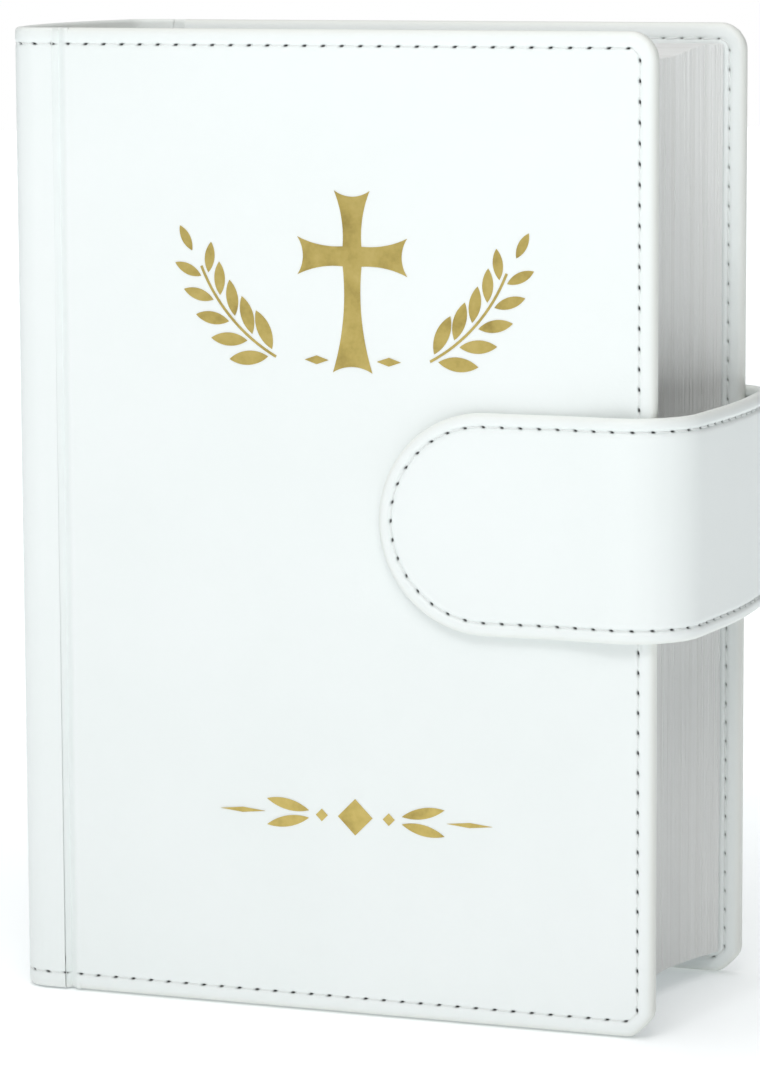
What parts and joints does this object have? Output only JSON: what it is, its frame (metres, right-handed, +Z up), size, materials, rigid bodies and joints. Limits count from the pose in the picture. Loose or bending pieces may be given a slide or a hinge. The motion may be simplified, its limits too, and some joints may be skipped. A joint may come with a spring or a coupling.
{
  "type": "bible",
  "caption": "Thick hardback bible in white imitation leather, stitched edges, sewn page block, gilt ornament, and a wraparound magnetic strap.",
  "frame": {"origin": "middle of the underside of the whole closed book, strap included", "axes": "+Z up along the spine; spine at -X, fore edge at +X, front cover at -Y, back cover at +Y"},
  "size_m": [0.1285, 0.0624, 0.17],
  "materials": {
    "cover_leather": "white smooth-grained imitation leather, satin",
    "strap_lining": "white imitation-leather lining, matt",
    "greyboard": "grey binder's board",
    "bible_paper": "thin off-white book paper, edges trimmed",
    "endpaper": "white endpaper",
    "thread": "white sewing thread",
    "gold_foil": "hot-stamped gold foil, satin",
    "steel_keeper": "bare thin steel sheet",
    "magnet_rubber": "flexible magnet sheet",
    "mull_cloth": "open-weave cotton mull",
    "head_band_cloth": "white woven head band cloth"
  },
  "bodies": {
    "root": {"rear_section_01": "bible_paper", "rear_section_02": "bible_paper", "rear_section_03": "bible_paper", "rear_section_04": "bible_paper", "rear_section_05": "bible_paper", "rear_section_06": "bible_paper", "back_endpaper_fold": "endpaper", "back_joint_leather": "cover_leather", "spine_mull": "mull_cloth", "spine_stiffener": "greyboard", "spine_leather": "cover_leather", "spine_stitching": "thread", "head_band": "head_band_cloth", "tail_band": "head_band_cloth"},
    "front_block": {"front_section_01": "bible_paper", "front_section_02": "bible_paper", "front_section_03": "bible_paper", "front_section_04": "bible_paper", "front_section_05": "bible_paper", "front_section_06": "bible_paper", "front_endpaper_fold": "endpaper", "front_joint_leather": "cover_leather"},
    "front_cover": {"front_board": "greyboard", "keeper_plate": "steel_keeper", "front_leather": "cover_leather", "front_pastedown": "endpaper", "front_stitching": "thread", "cross_foil": "gold_foil", "divider_foil": "gold_foil"},
    "front_leaf": {"front_flyleaf": "endpaper"},
    "back_cover": {"back_board": "greyboard", "back_leather": "cover_leather", "back_pastedown": "endpaper", "back_stitching": "thread", "strap_root_leather": "cover_leather", "strap_root_lining": "strap_lining", "strap_root_stitching": "thread"},
    "back_leaf": {"back_flyleaf": "endpaper"},
    "strap": {"strap_middle_leather": "cover_leather", "strap_middle_lining": "strap_lining", "strap_middle_stitching": "thread"},
    "strap_tip": {"strap_tip_leather": "cover_leather", "strap_tip_lining": "strap_lining", "strap_tip_stitching": "thread", "strap_magnet": "magnet_rubber"}
  },
  "joints": [
    {"name": "book_opening", "type": "hinge", "parent": "root", "child": "front_block", "pos_m": [-0.0644, 0, 0.085], "axis": [0, 0, 1], "range_deg": [-170, 0], "deforming": ["spine_leather", "spine_stiffener", "spine_mull", "head_band", "tail_band", "spine_stitching"]},
    {"name": "front_cover_hinge", "type": "hinge", "parent": "front_block", "child": "front_cover", "pos_m": [-0.0506, -0.0274, 0.085], "axis": [0, 0, -1], "range_deg": [0, 175], "deforming": ["front_joint_leather", "front_endpaper_fold"]},
    {"name": "front_leaf_turn", "type": "hinge", "parent": "front_block", "child": "front_leaf", "pos_m": [-0.0489, -0.0239, 0.085], "axis": [0, 0, -1], "range_deg": [0, 105]},
    {"name": "back_cover_hinge", "type": "hinge", "parent": "root", "child": "back_cover", "pos_m": [-0.0506, 0.0274, 0.085], "axis": [0, 0, 1], "range_deg": [0, 175], "deforming": ["back_joint_leather", "back_endpaper_fold"]},
    {"name": "back_leaf_turn", "type": "hinge", "parent": "root", "child": "back_leaf", "pos_m": [-0.0489, 0.0239, 0.085], "axis": [0, 0, 1], "range_deg": [0, 105]},
    {"name": "strap_swing", "type": "hinge", "parent": "back_cover", "child": "strap", "pos_m": [0.061, 0.02885, 0.087], "axis": [0, 0, 1], "range_deg": [0, 95], "deforming": ["strap_middle_leather", "strap_middle_lining", "strap_middle_stitching"]},
    {"name": "strap_tip_fold", "type": "hinge", "parent": "strap", "child": "strap_tip", "pos_m": [0.061, -0.02885, 0.087], "axis": [0, 0, 1], "range_deg": [0, 85], "deforming": ["strap_tip_leather", "strap_tip_lining", "strap_tip_stitching", "strap_magnet"]}
  ],
  "couplings": [
    {"joint": "front_leaf_turn", "follows": "front_cover_hinge", "ratio": 0.6},
    {"joint": "back_leaf_turn", "follows": "back_cover_hinge", "ratio": 0.6}
  ]
}
